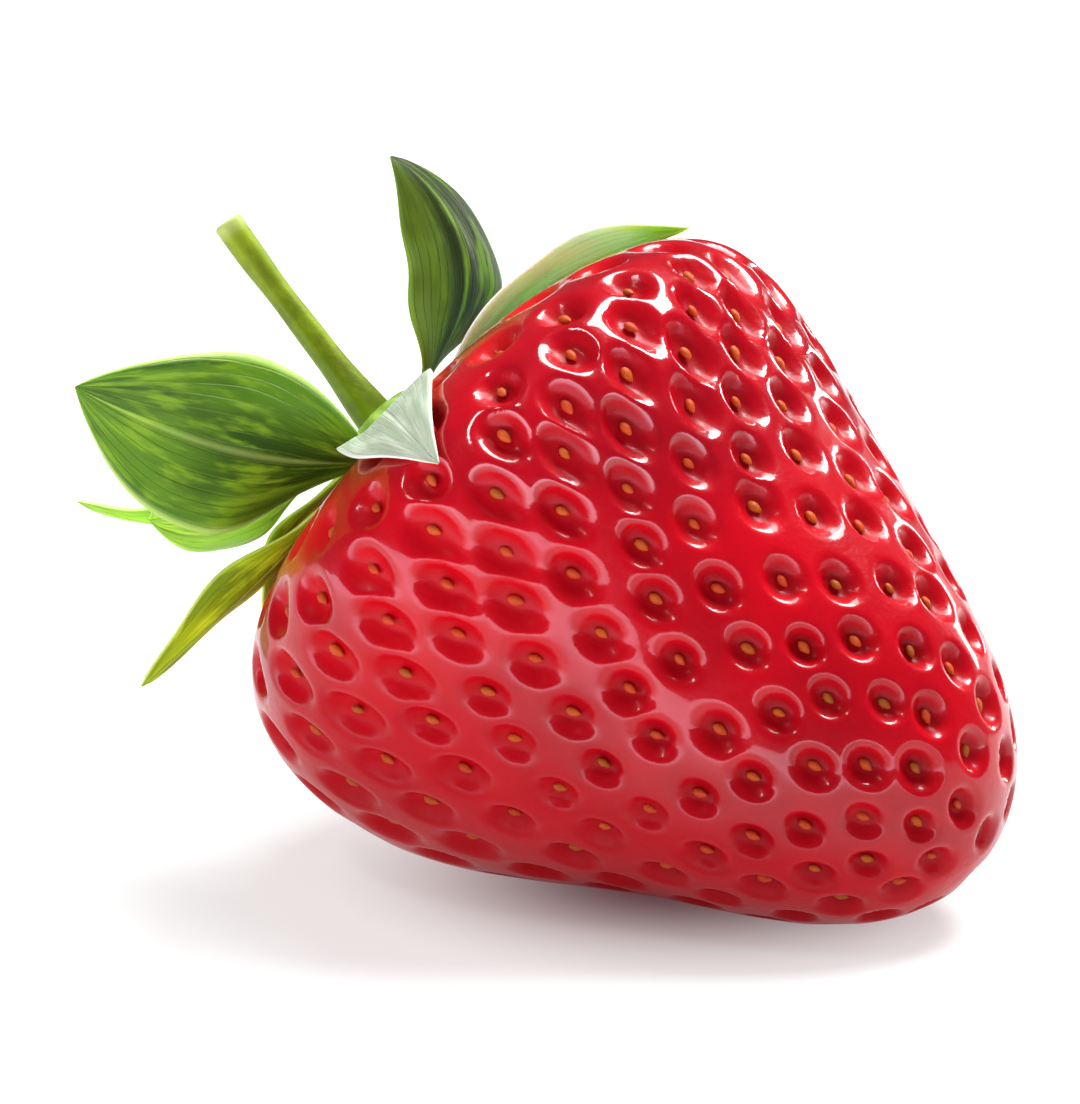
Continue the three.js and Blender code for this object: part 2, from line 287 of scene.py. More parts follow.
class Paint:
    """Builds one material's nodes round its main shader."""

    def __init__(self, name: str) -> None:
        """Starts a material with an untouched main shader.

        Args:
            name: the material's name.
        """
        self.material = bpy.data.materials.new(name)
        self.material.use_nodes = True
        self.tree = self.material.node_tree
        self.shader = next(n for n in self.tree.nodes if n.type == "BSDF_PRINCIPLED")

    def node(self, kind: str, settings: dict | None = None, inputs: dict | None = None) -> bpy.types.Node:
        """Adds any node.

        Args:
            kind: the node's type.
            settings: its settings, which are set first.
            inputs: values, sockets or terms for its inputs, by name or number.

        Returns:
            The new node.
        """
        node = self.tree.nodes.new(kind)
        for name, value in (settings or {}).items():
            setattr(node, name, value)
        for key, value in (inputs or {}).items():
            self.feed(node.inputs[key], value)
        return node

    def feed(self, socket: Socket, value: object) -> None:
        """Links a socket or a term to an input, or sets its plain value.

        Args:
            socket: the input.
            value: what it gets.
        """
        if isinstance(value, (Term, Socket)):
            self.tree.links.new(getattr(value, "socket", value), socket)
        else:
            socket.default_value = (*value, 1) if socket.type == "RGBA" else value

    def shade(self, **inputs: object) -> None:
        """Sets inputs of the main shader, with _ for the spaces in their names."""
        for name, value in inputs.items():
            self.feed(self.shader.inputs[name.replace("_", " ")], value)

    def term(
        self, kind: str, output: str | int, settings: dict | None = None, inputs: dict | None = None
    ) -> Term:
        """An output of a new node, as a term."""
        return Term(self, self.node(kind, settings, inputs).outputs[output])

    def coordinate(self, axis: int) -> Term:
        """The object coordinate along an axis, in metres."""
        return self.term("ShaderNodeSeparateXYZ", axis, {}, {"Vector": self.place()})

    def place(self) -> Socket:
        """Object coordinates."""
        return self.node("ShaderNodeTexCoord").outputs["Object"]

    def mark(self, name: str) -> Term:
        """The number that a mesh stores at its vertices under a name."""
        return self.term("ShaderNodeAttribute", "Fac", {"attribute_name": name})

    def vector(self, x: object, y: object, z: object) -> Socket:
        """A vector of three numbers or terms."""
        return self.node("ShaderNodeCombineXYZ", {}, {"X": x, "Y": y, "Z": z}).outputs[0]

    def noise(
        self, size: float, detail: float = 2.0, at: Socket | None = None, unit_size: float = MM
    ) -> Term:
        """Adds cloudiness.

        Args:
            size: how large its patches are, in units.
            detail: how many finer layers it has.
            at: where it is read, or nothing for the object's coordinates.
            unit_size: how long a unit is in those coordinates.

        Returns:
            A term from 0 to 1.
        """
        inputs = {"Vector": at or self.place(), "Scale": 1 / (size * unit_size)}
        return self.term("ShaderNodeTexNoise", "Fac", {}, {**inputs, "Detail": detail, "Roughness": 0.55})

    def mix(self, share: object, first: object, second: object) -> Socket:
        """A blend of two colours, from the first at share 0 to the second at 1."""
        inputs = {0: share, 6: first, 7: second}
        return self.node("ShaderNodeMix", {"data_type": "RGBA"}, inputs).outputs[2]

    def bump(self, height: Term, depth: float) -> Socket:
        """The normal of a fine relief whose heights go from 0 to 1 and so many millimetres deep."""
        inputs = {"Height": height, "Distance": depth * MM, "Strength": 1.0}
        return self.node("ShaderNodeBump", {}, inputs).outputs["Normal"]


# Finishes


@dataclass(frozen=True)
class SkinFinish:
    """Moist glossy red skin, brighter in its dimples, with painted light on its lower side and painted shade
    above and in the pits towards the tip.
    """

    ridge: Colour = (0.40, 0.0005, 0.008)
    dimple: Colour = (0.45, 0.0008, 0.006)
    # deeper red for uneven patches, and also the painted shade above towards the tip
    deep: Colour = (0.25, 0.0003, 0.006)
    crown: Colour = (0.80, 0.03, 0.015)
    # painted shade in the pits on the tip side
    shaded: Colour = (0.15, 0.0003, 0.004)
    # painted bounce light, laid on the skin that faces down
    belly: Colour = (0.48, 0.001, 0.008)
    tip_side: Pair = (-0.014, 0.014)  # metres along X
    roughness: float = 0.26
    grain_depth: float = 0.07

    def material(self) -> bpy.types.Material:
        """Builds the material of the skin.

        Returns:
            The material.
        """
        paint = Paint("fruit_skin")
        patches = paint.noise(9, 3)
        specks = paint.noise(0.8, 2)
        dip = paint.mark("dip")
        base = paint.mix(patches.rise(0.35, 0.68), self.ridge, self.deep)
        base = paint.mix(dip.rise(0.05, 0.7) * 0.8, base, self.dimple)
        base = paint.mix(paint.mark("crown") * 0.45, base, self.crown)
        base = paint.mix(specks.rise(0.5, 0.8) * 0.2, base, self.dimple)
        moist_and_shade = paint.mark("moist_and_shade")
        near_tip = paint.coordinate(0).rise(*self.tip_side)
        # painted shade: the glossy top is darkened towards the tip
        base = paint.mix(near_tip * moist_and_shade * 0.5, base, self.deep)
        # painted light: the skin below the glossy top is brightened
        base = paint.mix((1 - moist_and_shade) * 0.35, base, self.dimple)
        low = paint.mark("low")
        # painted bounce light: skin that faces down is brightened
        base = paint.mix(low * 0.4, base, self.belly)
        # painted shade in the pits on the tip side
        base = paint.mix(near_tip * dip.rise(0.3, 0.9) * 0.5, base, self.shaded)
        grain = paint.noise(0.3, 3) * 0.3 + paint.noise(1.5, 1) * 0.7
        paint.shade(
            Base_Color=base,
            Roughness=self.roughness + 0.1 * specks + 0.1 * dip,
            Normal=paint.bump(grain, self.grain_depth),
            Subsurface_Weight=0.15,
            Subsurface_Radius=(1.0, 0.1, 0.05),
            Subsurface_Scale=0.0016,
            Coat_Weight=(0.42 + 0.58 * moist_and_shade) * (1 - 0.92 * dip.rise(0.12, 0.5)) * (1 - 0.8 * low),
            Coat_Roughness=0.06,
            Coat_IOR=1.6,
            IOR=1.2,
        )
        return paint.material


@dataclass(frozen=True)
class SeedFinish:
    """Dry seed shells, from orange to olive brown."""

    gold: Colour = (0.44, 0.074, 0.007)
    orange: Colour = (0.44, 0.042, 0.006)
    olive: Colour = (0.26, 0.072, 0.005)

    def material(self) -> bpy.types.Material:
        """Builds the material of the seeds.

        Returns:
            The material.
        """
        paint = Paint("seed_shell")
        tint = paint.mark("tint")
        streaks = paint.noise(0.25, 2)
        base = paint.mix(tint.rise(0.1, 0.6), self.orange, self.gold)
        base = paint.mix(tint.rise(0.7, 0.95) * 0.8, base, self.olive)
        base = paint.mix(streaks.rise(0.45, 0.7) * 0.4, base, self.olive)
        paint.shade(
            Base_Color=base,
            Roughness=0.42 + 0.12 * streaks,
            Normal=paint.bump(streaks, 0.03),
            Subsurface_Weight=0.1,
            Subsurface_Radius=(1.0, 0.5, 0.2),
            Subsurface_Scale=0.0004,
            Specular_IOR_Level=0.2,
        )
        return paint.material


class LeafTone(Enum):
    """The leaves' shades: each one's light, middle and dark green, its rim and its outer side."""

    SPRING = (
        (0.43, 0.78, 0.07), (0.30, 0.64, 0.035), (0.08, 0.24, 0.01),
        (0.50, 0.74, 0.25), (0.34, 0.56, 0.16),
    )
    FRESH = (
        (0.155, 0.33, 0.010), (0.077, 0.21, 0.005), (0.016, 0.068, 0.002),
        (0.42, 0.64, 0.14), (0.26, 0.44, 0.10),
    )
    DARK = (
        (0.075, 0.145, 5e-4), (0.014, 0.028, 5e-4), (0.008, 0.018, 5e-4),
        (0.20, 0.34, 0.03), (0.24, 0.38, 0.14),
    )
    OLIVE = (
        (0.62, 0.84, 0.02), (0.46, 0.68, 0.010), (0.20, 0.32, 0.004),
        (0.64, 0.80, 0.16), (0.40, 0.56, 0.10),
    )
    LIME = (
        (0.50, 0.84, 0.12), (0.38, 0.74, 0.05), (0.18, 0.44, 0.015),
        (0.64, 0.86, 0.30), (0.40, 0.64, 0.16),
    )
    # pale grey-green all over: a painted sheen of light grazing the leaf, partly its downy side
    PALE = (
        (0.50, 0.62, 0.42), (0.42, 0.54, 0.34), (0.28, 0.42, 0.20),
        (0.68, 0.76, 0.64), (0.28, 0.35, 0.24),
    )
    # green with a pale base: a painted sheen on both sides near the root, partly the downy side
    SILVER = (
        (0.40, 0.70, 0.06), (0.26, 0.52, 0.03), (0.14, 0.32, 0.012),
        (0.74, 0.86, 0.75), (0.50, 0.83, 0.68),
    )


@dataclass(frozen=True)
class LeafFinish:
    """Satin leaf with lengthwise streaks and veins, a pale rim, a paler, downy outer side and painted shade
    towards the root; pale tones paint a sheen, the dark one a lit half.
    """

    tone: LeafTone
    veins: float = 7.0
    silver_sheen_until: float = 0.84

    def material(self) -> bpy.types.Material:
        """Builds the material of the leaf in its tone.

        Returns:
            The material.
        """
        light, middle, dark, rim, outer = self.tone.value
        paint = Paint(f"leaf_{self.tone.name.lower()}")
        across, along = paint.mark("across"), paint.mark("along")
        aside, onward = paint.mark("aside"), paint.mark("onward")
        grain = paint.vector(aside, onward * 0.22, 0.0)
        streaks = paint.noise(0.9, 3, grain, 1.0)
        wide = paint.noise(2.4, 2, grain, 1.0)
        line = across * (self.veins * math.pi) + paint.noise(1.6, 1, grain, 1.0) * 3.0
        vein = abs(line.sine()).rise(0.3, 0.0)
        midrib = abs(across).rise(0.07, 0.0)
        base = paint.mix(wide.rise(0.36, 0.6), dark, middle)
        base = paint.mix(streaks.rise(0.46, 0.66), base, light)
        # painted shade: the middle of the leaf darkens towards its root
        root_shade = abs(across).rise(0.55, 0.1) * along.rise(0.7, 0.35) * streaks.rise(0.66, 0.46)
        base = paint.mix(root_shade * 0.95, base, dark)
        base = paint.mix(vein * 0.3, base, light)
        base = paint.mix(midrib * 0.35, base, rim)
        base = paint.mix(along.rise(0.14, 0.0) * 0.5, base, light)
        # painted light: one half of the dark leaf is lit lighter, as on a leaf folded along its midrib
        if self.tone is LeafTone.DARK:
            base = paint.mix(across.rise(-0.1, -0.5) * 0.7, base, light)
        downy = paint.mix(vein * 0.3 + streaks.rise(0.4, 0.7) * 0.35, outer, rim)
        downy = paint.mix(midrib * 0.3, downy, light)
        shown = paint.mark("outer")
        # painted sheen: this tone lays its pale colour on both sides up to near the tip
        if self.tone is LeafTone.SILVER:
            shown = (along + streaks * 0.3 - 0.15).rise(self.silver_sheen_until + 0.1, self.silver_sheen_until - 0.1)
        base = paint.mix(shown, base, downy)
        base = paint.mix(abs(across).rise(0.88, 1.0) * 0.8, base, rim)
        relief = vein * -0.5 + midrib * -0.8 + streaks * 0.5
        paint.shade(
            Base_Color=base,
            Roughness=0.42 + 0.16 * streaks,
            Normal=paint.bump(relief, 0.12),
            Specular_IOR_Level=0.25,
            Subsurface_Weight=0.7 if self.tone is LeafTone.SILVER else 0.2,
            Subsurface_Radius=(0.6, 1.0, 0.3),
            Subsurface_Scale=0.0012 if self.tone is LeafTone.SILVER else 0.0006,
        )
        return paint.material


@dataclass(frozen=True)
class StalkFinish:
    """Yellow-green stalk or disc with lengthwise ribs, paler where it is cut."""

    name: str
    light: Colour = (0.22, 0.32, 0.001)
    dark: Colour = (0.11, 0.165, 0.0005)
    cut: Colour = (0.62, 0.70, 0.32)

    def material(self) -> bpy.types.Material:
        """Builds the material of the stalk.

        Returns:
            The material.
        """
        paint = Paint(self.name)
        clouds = paint.noise(1.6, 3)
        base = paint.mix(clouds.rise(0.35, 0.65) * 0.5 + paint.mark("rib") * 0.5, self.dark, self.light)
        base = paint.mix(paint.mark("cut"), base, self.cut)
        paint.shade(
            Base_Color=base,
            Roughness=0.42 + 0.14 * clouds,
            Normal=paint.bump(paint.noise(0.35, 2), 0.04),
            Subsurface_Weight=0.15,
            Subsurface_Radius=(0.8, 1.0, 0.3),
            Subsurface_Scale=0.0008,
            Specular_IOR_Level=0.25,
        )
        return paint.material


# The fruit


@dataclass(frozen=True)
class FruitForm:
    """The fruit's smooth form, measured from its middle: +Z runs to the crown, +X to the top side."""

    half_length: float = 22.4
    girth: tuple[float, float, float, float] = (16.0, 8.3, 8.6, 2.5)
    crown_slope: Pair = (-0.21, 0.11)
    bow: Pair = (0.2, -0.5)
    belly_swell: float = 3.55
    belly_middle: float = 0.31
    belly_spread: float = 0.5
    lump: float = 0.45
    crown_place: Pair = (-1.5, -1.0)
    hollow_depth: float = 2.0
    hollow_radius: float = 7.0
    tip_dip: float = 28.2
    middle_height: float = 15.55
    middle_forward: float = 1.4

    def skin(self, way: Array) -> Array:
        """Works out the smooth skin.

        Args:
            way: directions from the middle, one a row.

        Returns:
            The skin's points in those directions.
        """
        x, y, z = np.moveaxis(way, -1, 0)
        girth = sum(part * z**power for power, part in enumerate(self.girth))
        lump = self.lump * np.sin(3.1 * x + 1.9 * z + 0.6) * np.sin(3.4 * y - 1.3 * z + 1.1)
        low = np.where(x < 0, x * x, 0)
        belly = self.belly_swell * low * np.exp(-(((z - self.belly_middle) / self.belly_spread) ** 2))
        across = x * (girth + lump) - belly
        away = y * (girth + lump)
        from_stem = np.hypot(across - self.crown_place[0], away - self.crown_place[1])
        hollow = self.hollow_depth * np.exp(-((from_stem / self.hollow_radius) ** 2)) * smooth(z, 0.5, 0.9)
        slope = (self.crown_slope[0] * across + self.crown_slope[1] * away) * smooth(z, -0.2, 1)
        height = self.half_length * z - hollow + slope
        return np.stack([across + self.bow[0] * z * z, away + self.bow[1] * z * z, height], -1)

    def tangents(self, way: Array) -> tuple[Array, Array]:
        """Finds the ways along and across the fruit.

        Args:
            way: directions from the middle, one a row.

        Returns:
            Two unit vectors for each, square to it and to each other.
        """
        flat = np.array([0.0, 0.0, 1.0]) - way * way[..., 2:3]
        along = unit(np.where(np.linalg.norm(flat, axis=-1, keepdims=True) < 1e-6, [1.0, 0.0, 0.0], flat))
        return along, np.cross(along, way)

    def normal(self, way: Array) -> Array:
        """Works out which way the smooth skin faces.

        Args:
            way: directions from the middle, one a row.

        Returns:
            The outward normals there.
        """
        probe = 1e-3
        along, across = self.tangents(way)
        slope_along = self.skin(unit(way + along * probe)) - self.skin(unit(way - along * probe))
        slope_across = self.skin(unit(way + across * probe)) - self.skin(unit(way - across * probe))
        return unit(np.cross(slope_across, slope_along))

    def turn(self) -> Array:
        """The matrix that turns rows of the fruit's frame into the part's frame."""
        return tilt(self.tip_dip - 90)

    def laid(self, points: Array) -> Array:
        """Points of the fruit's frame in the part's frame, in millimetres."""
        return points @ self.turn() + [self.middle_forward, 0, self.middle_height]


@dataclass(frozen=True)
class SeedSpiral:
    """Places of the seeds: a spiral from the tip to the crown, with wider gaps towards the crown."""

    form: FruitForm
    gap_tip: float = 3.5
    gap_crown: float = 5.1
    top_share: float = 0.93
    steps: int = 400
    clear_reach: float = 16.0
    clear_side: float = 4.8

    def gap(self, height: Array) -> Array:
        """The distance between seeds at a height share."""
        return self.gap_tip + (self.gap_crown - self.gap_tip) * (height + 1) / 2

    def ways(self) -> Array:
        """Walks up the spiral.

        Returns:
            The seeds' directions from the fruit's middle, one a row.
        """
        heights = -1 + (self.top_share + 1) * np.arange(1, self.steps + 1) / self.steps
        edge = self.form.skin(turned_directions(heights, np.full(self.steps, math.pi / 2)))[:, 1:]
        before = np.vstack([[0, -self.form.half_length], edge[:-1]])
        length = np.hypot(*(edge - before).T)
        area = math.pi * (edge[:, 0] + before[:, 0]) * length
        reached = 0.5 + np.cumsum(area / (math.sqrt(3) / 2 * self.gap(heights) ** 2))
        count = int(reached[-1])
        numbers = np.arange(count)
        first = np.searchsorted(reached, numbers + 1)
        return turned_directions(heights[first], numbers * GOLDEN_TURN)

    def near_flat(self, ways: Array) -> Array:
        """Tells which directions lie in the clear zone round the resting flat.

        Args:
            ways: directions from the fruit's middle, one a row.

        Returns:
            1 well inside the zone, 0 outside it.
        """
        x, y, z = self.form.laid(self.form.skin(ways)).T
        reach = np.hypot(x / self.clear_reach, y / self.clear_side)
        return smooth(-reach, -1.15, -0.8) * (z < self.form.middle_height / 2)


@dataclass
class Fruit:
    """The fruit: a dimpled skin, and a seed in each dimple."""

    form: FruitForm
    spiral: SeedSpiral
    cuts: int = 127
    dimple_depth: float = 0.85
    dimple_long: float = 0.31
    dimple_wide: float = 0.26
    dimple_edge: float = 4.6
    puff: float = 0.1
    seed_size: Triple = (0.49, 0.31, 0.25)
    seed_sink: float = 0.72
    seed_taper: float = 0.34
    seed_twist: float = 0.5
    seed_lean: float = 0.3
    stray: float = 0.3
    uneven_width: float = 0.16
    uneven_depth: float = 0.3
    uneven_seeds: float = 0.24
    # the top, which is glossier and is painted darker towards the tip
    moist_and_shade_heights: Pair = (24.0, 31.0)
    flank_way: Triple = (0.84, 0.54, 0.0)
    flank_share: float = 0.35

    def seed_ways(self) -> Array:
        """Lets each seed stray a little from the even spiral.

        Returns:
            The seeds' directions from the fruit's middle, one a row.
        """
        ways = self.spiral.ways()
        along, across = self.form.tangents(ways)
        reach = self.stray / np.linalg.norm(self.form.skin(ways), axis=1)[:, None]
        aside = [scatter(len(ways), salt)[:, None] for salt in (Salt.ALONG, Salt.ACROSS)]
        return unit(ways + (along * aside[0] + across * aside[1]) * 2 * reach)

    def relief(self, ways: Array, seeds: Array) -> tuple[Array, Array]:
        """The skin's height over the smooth form, and how deep in a dimple each direction lies.

        Args:
            ways: directions of the skin's vertices.
            seeds: directions of the seeds.

        Returns:
            The heights in millimetres, and the depth shares from 0 to 1.
        """
        skin = self.form.skin(ways)
        spots = self.form.skin(seeds)
        along, across = self.form.tangents(seeds)
        gap = self.spiral.gap(seeds[:, 2])
        wide = gap * (1 + self.uneven_width * scatter(len(seeds), Salt.WIDTH))
        uneven = 1 + self.uneven_depth * scatter(len(seeds), Salt.DEPTH)
        deep = (gap / self.spiral.gap_crown) ** 0.5 * uneven
        deep *= 1 - self.spiral.near_flat(seeds)
        dip = np.zeros(len(ways))
        for chunk in np.array_split(np.arange(len(ways)), 40):
            apart = skin[chunk, None, :] - spots[None]
            run = np.einsum("vsc,sc->vs", apart, along) / (wide * self.dimple_long)
            side = np.einsum("vsc,sc->vs", apart, across) / (wide * self.dimple_wide)
            reach = np.sqrt(run**2 + side**2 + (np.linalg.norm(apart, axis=2) > 5) * 9)
            dip[chunk] = (np.exp(-(reach**self.dimple_edge)) * deep).max(axis=1)
        share = np.clip(dip, 0, 1)
        return -self.puff * share - self.dimple_depth * dip, share

    def build_skin(self) -> Piece:
        """Draws a rounded cube out to the fruit's form, pressed in at each seed and flat where it rests.

        Returns:
            The skin, marked for its finish.
        """
        piece = new_primitive("fruit_skin", "cube", size=2)
        with editing(piece):
            bpy.ops.mesh.subdivide(number_cuts=self.cuts)
            bpy.ops.transform.tosphere(value=1)
        ways = unit(corners_of(piece))
        seeds = self.seed_ways()
        height, dip = self.relief(ways, seeds)
        points = self.form.laid(self.form.skin(ways) + self.form.normal(ways) * height[:, None])
        points[:, 2] = np.maximum(points[:, 2], 0)
        move_corners(piece, points * MM)
        mark_corners(piece, "dip", dip)
        mark_corners(piece, "crown", smooth(ways[:, 2], 0.8, 0.97))
        facing = self.form.normal(ways) @ self.form.turn()
        flank = facing @ self.flank_way
        # skin that faces down, for the painted bounce light and a thinner coat
        mark_corners(piece, "low", smooth(-facing[:, 2], 0.12, 0.52))
        # the glossy top, which is also where the finish paints shade towards the tip
        moist_and_shade = smooth(points[:, 2], *self.moist_and_shade_heights)
        mark_corners(piece, "moist_and_shade", np.maximum(moist_and_shade, self.flank_share * smooth(flank, 0.55, 0.9)))
        face_outwards(piece)
        return piece

    def build_seeds(self) -> Piece:
        """Copies one plump drop into every dimple, turned a little each time.

        Returns:
            The seeds, marked for their finish.
        """
        drop = new_primitive("seed", "uv_sphere", segments=10, ring_count=6, radius=1)
        with editing(drop):
            bpy.ops.transform.rotate(value=math.pi / 2, orient_axis="Y", center_override=(0, 0, 0))
        corners = corners_of(drop)
        corners[:, 1:] *= 1 - self.seed_taper * smooth(corners[:, :1], -0.2, 1.0)
        move_corners(drop, corners)
        ways = self.seed_ways()
        ways = ways[self.spiral.near_flat(ways) < 0.35]
        count = len(ways)
        normal = self.form.normal(ways)
        along, _ = self.form.tangents(ways)
        along = -unit(along - normal * np.sum(along * normal, 1, keepdims=True))
        twist = self.seed_twist * scatter(count, Salt.TWIST)[:, None]
        along = along * np.cos(twist) + np.cross(normal, along) * np.sin(twist)
        along = unit(along + normal * self.seed_lean * scatter(count, Salt.LEAN)[:, None])
        upright = unit(normal - along * np.sum(along * normal, 1, keepdims=True))
        axes = np.stack([along, np.cross(upright, along), upright], 1) @ self.form.turn()
        size = 1 + self.uneven_seeds * scatter(count, Salt.SIZE)
        size *= (self.spiral.gap(ways[:, 2]) / self.spiral.gap_crown) ** 0.35
        frames = axes * np.outer(size, self.seed_size)[..., None]
        places = self.form.laid(self.form.skin(ways) - normal * self.seed_sink)
        piece = copies_of(drop, "fruit_seeds", places * MM, frames * MM)
        mark_corners(piece, "tint", np.repeat(scatter(count, Salt.TINT) + 0.5, len(corners)))
        return piece

    def make(self) -> None:
        """Builds the skin and the seeds, dresses them and sets them on the part."""
        skin = self.build_skin()
        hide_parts("fruit")
        settle(skin, SkinFinish().material())
        settle(self.build_seeds(), SeedFinish().material())


def settle(piece: Piece, material: bpy.types.Material) -> None:
    """Shades a piece smooth, dresses it, lets it ride on the part's one body and reports it.

    Args:
        piece: the finished mesh object.
        material: what it is dressed in.
    """
    with chosen(piece):
        bpy.ops.object.shade_smooth()
    piece.data.materials.append(material)
    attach(piece, "root")
    log.info("%s: %d faces", piece.name, len(piece.data.polygons))


# The cap


class Crown:
    """The crown's frame: the stem grows at its origin, +Z is square to the crown, +X runs to the top side."""

    def __init__(self, form: FruitForm, places: int = 16000, lowest: float = -0.25) -> None:
        """Measures the crown's skin.

        Args:
            form: the fruit's smooth form.
            places: how many places of the skin are kept.
            lowest: the height share down to which they go.
        """
        self.form = form
        up = unit(np.array([-form.crown_slope[0], -form.crown_slope[1], 1.0]))
        top = unit(np.array([1.0, 0, 0]) - up * up[0])
        self.axes = np.stack([top, np.cross(up, top), up])
        self.origin = form.skin(unit(np.array([*form.crown_place, sum(form.girth)])))
        number = np.arange(places)
        ways = turned_directions(1 - (1 - lowest) * (number + 0.5) / places, number * GOLDEN_TURN)
        self.skin = (form.skin(ways) - self.origin) @ self.axes.T
        self.normals = form.normal(ways) @ self.axes.T
        self.tree = KDTree(places)
        for index, point in enumerate(self.skin):
            self.tree.insert(point, index)
        self.tree.balance()

    def height(self, x: float, y: float) -> float:
        """Measures the skin's height over the crown's plane.

        Args:
            x: how far from the origin to the top side.
            y: how far along the plane's other axis.

        Returns:
            The height there, in millimetres.
        """
        upward = self.normals[:, 2] > 0.3
        near = np.hypot(self.skin[upward, 0] - x, self.skin[upward, 1] - y).argmin()
        return float(self.skin[upward][near, 2])

    def lifted(self, points: Array, gap: float) -> Array:
        """Moves points out of the skin, with a soft join.

        Args:
            points: places in the crown's frame, one a row.
            gap: the least distance to the skin, in millimetres.

        Returns:
            The moved points.
        """
        found = np.array([self.tree.find(point)[1] for point in points])
        normals = self.normals[found]
        over = np.sum((points - self.skin[found]) * normals, axis=1) - gap
        return points + normals * ((np.hypot(over, 0.25) - over) / 2)[:, None]

    def placed(self, points: Array) -> Array:
        """Points of the crown's frame in the part's frame, in metres."""
        return self.form.laid(points @ self.axes + self.origin) * MM

    def turned(self, ways: Array) -> Array:
        """Directions of the crown's frame in the part's frame."""
        return ways @ self.axes @ self.form.turn()


